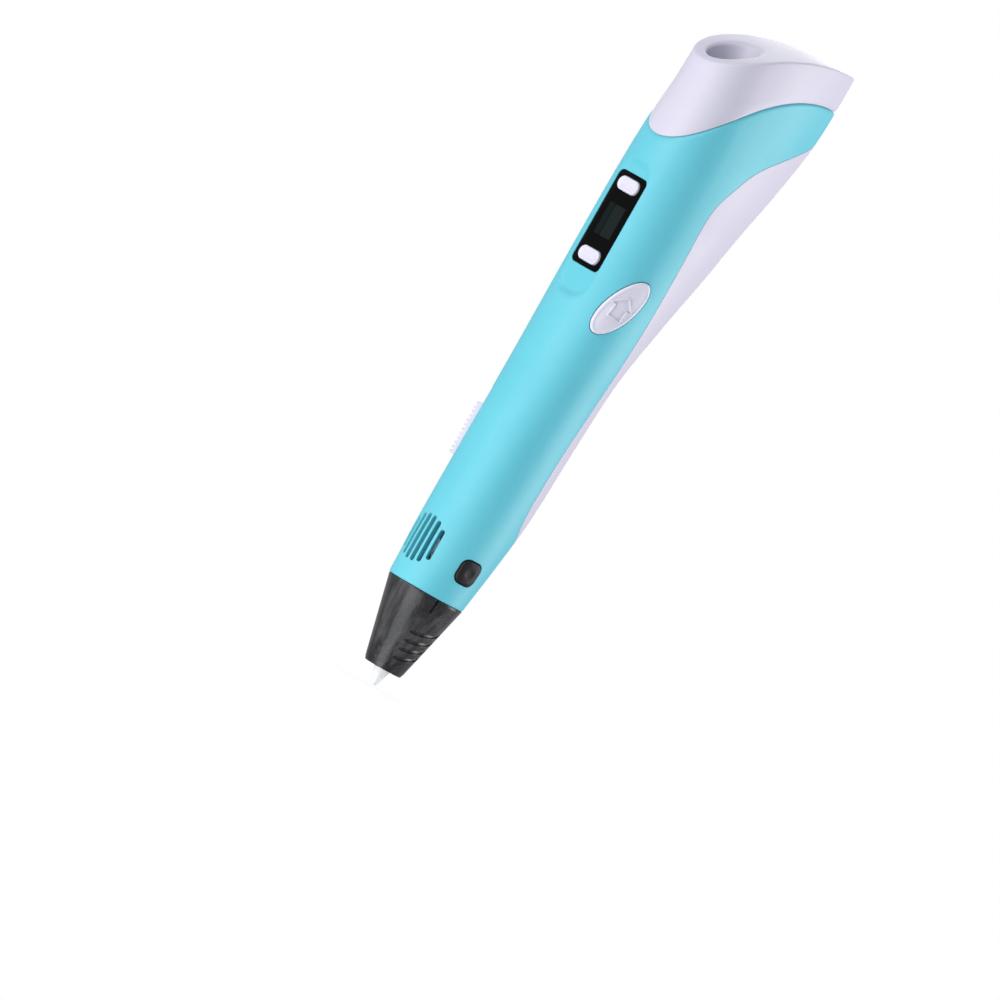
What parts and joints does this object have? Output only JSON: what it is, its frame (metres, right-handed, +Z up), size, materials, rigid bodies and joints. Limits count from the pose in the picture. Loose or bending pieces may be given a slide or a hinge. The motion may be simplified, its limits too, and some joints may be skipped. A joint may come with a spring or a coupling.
{
  "type": "three d pen",
  "caption": "Hand-held pen that feeds plastic filament through a heated ceramic nozzle to draw raised lines, with a display, buttons and a speed slider.",
  "frame": {"origin": "tip of the nozzle, on the axis of the nose", "axes": "+Z up the pen from the nozzle to the tail, -Y the display side, +X the side with the unload and feed buttons"},
  "size_m": [0.0289, 0.0475, 0.184],
  "materials": {
    "turquoise_plastic": "satin moulded",
    "white_plastic": "satin moulded",
    "black_grip": "satin",
    "black_button": "satin",
    "ceramic": "fired",
    "black_plastic": "matt",
    "brass": "turned",
    "glass_fibre": "woven",
    "steel": "bright",
    "milky_tube": "waxy",
    "grey_nylon": "moulded",
    "circuit_board": "lacquered",
    "display_panel": "smooth",
    "display_glass": "polished"
  },
  "bodies": {
    "pen": {"front_shell": "turquoise_plastic", "back_shell": "white_plastic", "tail_cap": "white_plastic", "nose_cone": "black_grip", "ceramic_nozzle": "ceramic", "nozzle_holder": "black_plastic", "heater_sleeve": "brass", "insulation_wrap": "glass_fibre", "heat_sensor": "steel", "guide_tube": "milky_tube", "feed_tube": "milky_tube", "inlet_bush": "brass", "feed_frame": "grey_nylon", "gearbox": "brass", "motor_can": "steel", "motor_end_cap": "black_plastic", "lever_pin": "steel", "idler_spring": "steel", "main_board": "circuit_board", "display_panel": "display_panel", "display_window": "display_glass", "temp_up_switch": "black_plastic", "temp_down_switch": "black_plastic", "unload_switch": "black_plastic", "unload_board": "circuit_board", "feed_switch": "black_plastic", "feed_board": "circuit_board", "slide_potentiometer": "black_plastic", "power_jack": "black_plastic", "jack_pin": "steel", "fan_housing": "black_plastic", "shell_screw_1": "steel", "shell_screw_2": "steel", "shell_screw_3": "steel"},
    "temp_up_key": {"temp_up_key": "white_plastic"},
    "temp_down_key": {"temp_down_key": "white_plastic"},
    "unload_button": {"unload_button": "white_plastic"},
    "feed_button": {"feed_button": "black_button"},
    "speed_slider": {"speed_slider": "white_plastic"},
    "motor_output": {"output_shaft": "steel", "motor_pinion": "steel"},
    "feed_roller": {"feed_screw": "brass", "feed_gear": "brass"},
    "idler_lever": {"idler_lever": "grey_nylon", "idler_pin": "steel"},
    "idler_wheel": {"idler_bearing": "steel"},
    "fan_rotor": {"fan_rotor": "grey_nylon"}
  },
  "joints": [
    {"name": "temp_up_press", "type": "slide", "parent": "pen", "child": "temp_up_key", "axis": [0, 1, 0], "range_m": [0, 0.0005], "stiffness_N_per_m": 600, "springref_m": -0.0005},
    {"name": "temp_down_press", "type": "slide", "parent": "pen", "child": "temp_down_key", "axis": [0, 1, 0], "range_m": [0, 0.0005], "stiffness_N_per_m": 600, "springref_m": -0.0005},
    {"name": "unload_press", "type": "slide", "parent": "pen", "child": "unload_button", "axis": [-0.8704, 0.4924, 0], "range_m": [0, 0.0007], "stiffness_N_per_m": 600, "springref_m": -0.0005},
    {"name": "feed_press", "type": "slide", "parent": "pen", "child": "feed_button", "axis": [-1, 0, 0], "range_m": [0, 0.0005], "stiffness_N_per_m": 600, "springref_m": -0.0005},
    {"name": "speed_slide", "type": "slide", "parent": "pen", "child": "speed_slider", "axis": [0, 0, 1], "range_m": [-0.0045, 0.0045]},
    {"name": "motor_turn", "type": "hinge", "parent": "pen", "child": "motor_output", "pos_m": [0, 0.0093, 0.0933], "axis": [0, 0, 1], "continuous": true},
    {"name": "feed_turn", "type": "hinge", "parent": "pen", "child": "feed_roller", "pos_m": [0, 0.0039, 0.0855], "axis": [0, 0, 1], "continuous": true},
    {"name": "idler_lift", "type": "hinge", "parent": "pen", "child": "idler_lever", "pos_m": [0, -0.0041, 0.0855], "axis": [1, 0, 0], "range_deg": [0, 6], "stiffness_Nm_per_rad": 0.02, "springref_deg": -17.19, "deforming": ["idler_spring"]},
    {"name": "idler_turn", "type": "hinge", "parent": "idler_lever", "child": "idler_wheel", "pos_m": [0, -0.00263, 0.0897], "axis": [1, 0, 0], "continuous": true},
    {"name": "fan_turn", "type": "hinge", "parent": "pen", "child": "fan_rotor", "pos_m": [0, -0.0036, 0.03678], "axis": [0, -1, 0], "continuous": true}
  ],
  "couplings": [
    {"joint": "feed_turn", "follows": "motor_turn", "ratio": -1.25}
  ]
}
